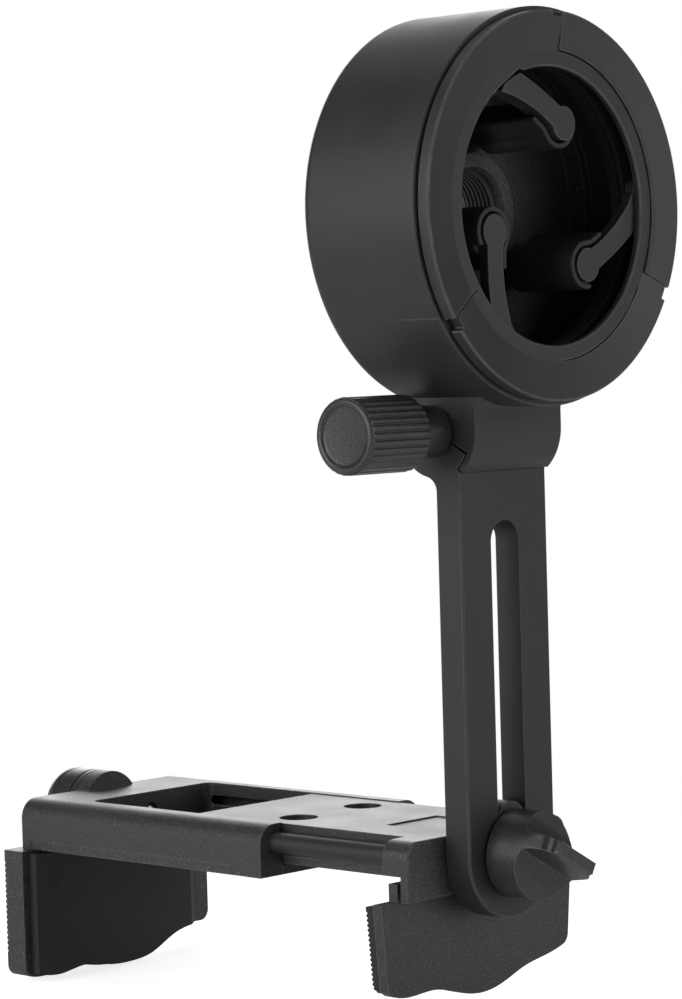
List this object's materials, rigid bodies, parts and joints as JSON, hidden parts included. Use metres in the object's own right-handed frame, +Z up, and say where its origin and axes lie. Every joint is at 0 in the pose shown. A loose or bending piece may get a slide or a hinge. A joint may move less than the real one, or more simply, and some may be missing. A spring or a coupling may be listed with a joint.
{
  "type": "telescope phone adapter",
  "caption": "Adapter holding a phone behind an eyepiece: drum with self-centring grips on a tilting slotted arm, bolted to a sliding phone clamp.",
  "frame": {"origin": "centre of the rear threaded bore at the drum's back face", "axes": "+Y along the bore axis, out of the drum's back; +Z up from the phone clamp to the drum; +X across the phone clamp"},
  "size_m": [0.0752, 0.1425, 0.1941],
  "materials": {
    "black_plastic": "satin",
    "textured_plastic": "fine spark texture",
    "knob_plastic": "satin",
    "pad_rubber": "matte",
    "screw_steel": "zinc plated"
  },
  "bodies": {
    "base": {"fixed_body": "textured_plastic", "guide_rod_left": "textured_plastic", "guide_rod_right": "textured_plastic", "fixed_cover": "textured_plastic", "fixed_cover_screws": "screw_steel", "fixed_jaw": "textured_plastic", "fixed_jaw_pad": "pad_rubber"},
    "slide": {"slide_frame": "textured_plastic", "slide_cover": "textured_plastic", "slide_cover_screws": "screw_steel", "moving_jaw": "textured_plastic", "moving_jaw_pad": "pad_rubber"},
    "lock": {"lock_knob": "knob_plastic", "lock_screw": "screw_steel"},
    "wing": {"wing_knob": "knob_plastic", "wing_stud": "screw_steel"},
    "slider": {"slot_slider": "black_plastic"},
    "arm": {"slotted_arm": "black_plastic", "tilt_nut": "screw_steel"},
    "tilt": {"tilt_knob": "knob_plastic", "tilt_screw": "screw_steel"},
    "head": {"ring_housing": "black_plastic", "cam_plate": "black_plastic"},
    "ring": {"front_ring": "black_plastic", "face_insert": "black_plastic", "carrier_plate": "black_plastic"},
    "grip_top": {"grip_arm_top": "black_plastic", "grip_pad_top": "pad_rubber"},
    "grip_right": {"grip_arm_right": "black_plastic", "grip_pad_right": "pad_rubber"},
    "grip_lower": {"grip_arm_lower": "black_plastic", "grip_pad_lower": "pad_rubber"}
  },
  "joints": [
    {"name": "clamp_slide", "type": "slide", "parent": "base", "child": "slide", "axis": [0, -1, 0], "range_m": [0, 0.0295]},
    {"name": "lock_turn", "type": "hinge", "parent": "slide", "child": "lock", "pos_m": [0, 0.107, -0.1232], "axis": [0, 1, 0], "continuous": true},
    {"name": "wing_turn", "type": "hinge", "parent": "base", "child": "wing", "pos_m": [0, -0.02, -0.1232], "axis": [0, 1, 0], "continuous": true},
    {"name": "arm_swing", "type": "hinge", "parent": "base", "child": "slider", "pos_m": [0, -0.013, -0.1232], "axis": [0, -1, 0], "range_deg": [-90, 90]},
    {"name": "arm_slide", "type": "slide", "parent": "slider", "child": "arm", "axis": [0, 0, -1], "range_m": [0, 0.04]},
    {"name": "tilt_turn", "type": "hinge", "parent": "arm", "child": "tilt", "pos_m": [-0.025, -0.0095, -0.0417], "axis": [1, 0, 0], "continuous": true},
    {"name": "ring_tilt", "type": "hinge", "parent": "arm", "child": "head", "pos_m": [0, -0.0095, -0.0417], "axis": [-1, 0, 0], "range_deg": [0, 85]},
    {"name": "ring_turn", "type": "hinge", "parent": "head", "child": "ring", "pos_m": [0, -0.027, 0], "axis": [0, -1, 0], "range_deg": [-22, 8]},
    {"name": "grip_top_swing", "type": "hinge", "parent": "ring", "child": "grip_top", "pos_m": [-0.01458, -0.027, 0.02379], "axis": [0, -1, 0], "range_deg": [-22, 8]},
    {"name": "grip_right_swing", "type": "hinge", "parent": "ring", "child": "grip_right", "pos_m": [0.02789, -0.027, 0.00073], "axis": [0, -1, 0], "range_deg": [-22, 8]},
    {"name": "grip_lower_swing", "type": "hinge", "parent": "ring", "child": "grip_lower", "pos_m": [-0.01331, -0.027, -0.02452], "axis": [0, -1, 0], "range_deg": [-22, 8]}
  ],
  "couplings": [
    {"joint": "grip_top_swing", "follows": "ring_turn", "ratio": 1},
    {"joint": "grip_right_swing", "follows": "ring_turn", "ratio": 1},
    {"joint": "grip_lower_swing", "follows": "ring_turn", "ratio": 1}
  ]
}
